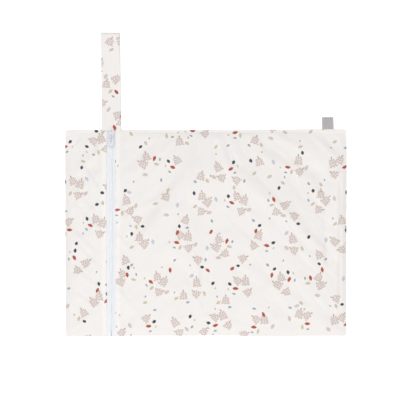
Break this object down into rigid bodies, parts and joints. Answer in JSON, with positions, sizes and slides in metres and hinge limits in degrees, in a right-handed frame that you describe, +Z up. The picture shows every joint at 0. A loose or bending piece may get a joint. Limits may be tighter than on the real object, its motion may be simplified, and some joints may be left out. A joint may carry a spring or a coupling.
{
  "type": "cloth wet bag with zip and carrying strap",
  "caption": "Flat rectangular cloth wet bag with a lengthwise zip near one side, a folded carrying strap in the top seam and a small folded side label.",
  "frame": {"origin": "on the supporting surface, under the middle of the whole bag with its strap", "axes": "+X across the bag from the zip side to the plain side, +Y along the bag towards the strap, +Z up off the surface"},
  "size_m": [0.4006, 0.432, 0.013],
  "materials": {
    "cloth": null,
    "zip_tape": "matt herringbone tape, pale blue white",
    "zip_coil": "satin nylon coil",
    "slider_paint": "satin pale lilac grey lacquer",
    "label_weave": "matt woven grey tape"
  },
  "bodies": {
    "bag": {"back_panel": "cloth", "front_panel": "cloth", "zip_side_panel": "cloth", "zip_tape_left": "zip_tape", "zip_tape_right": "zip_tape", "zip_coil_left": "zip_coil", "zip_coil_right": "zip_coil", "zip_slider": "slider_paint", "strap_loop": "cloth", "side_label": "label_weave"},
    "pull": {"zip_pull": "slider_paint"}
  },
  "joints": [
    {"name": "pull_swing", "type": "hinge", "parent": "bag", "child": "pull", "pos_m": [-0.13444, 0.06846, 0.00852], "axis": [-1, 0, 0], "range_deg": [0, 170]}
  ]
}
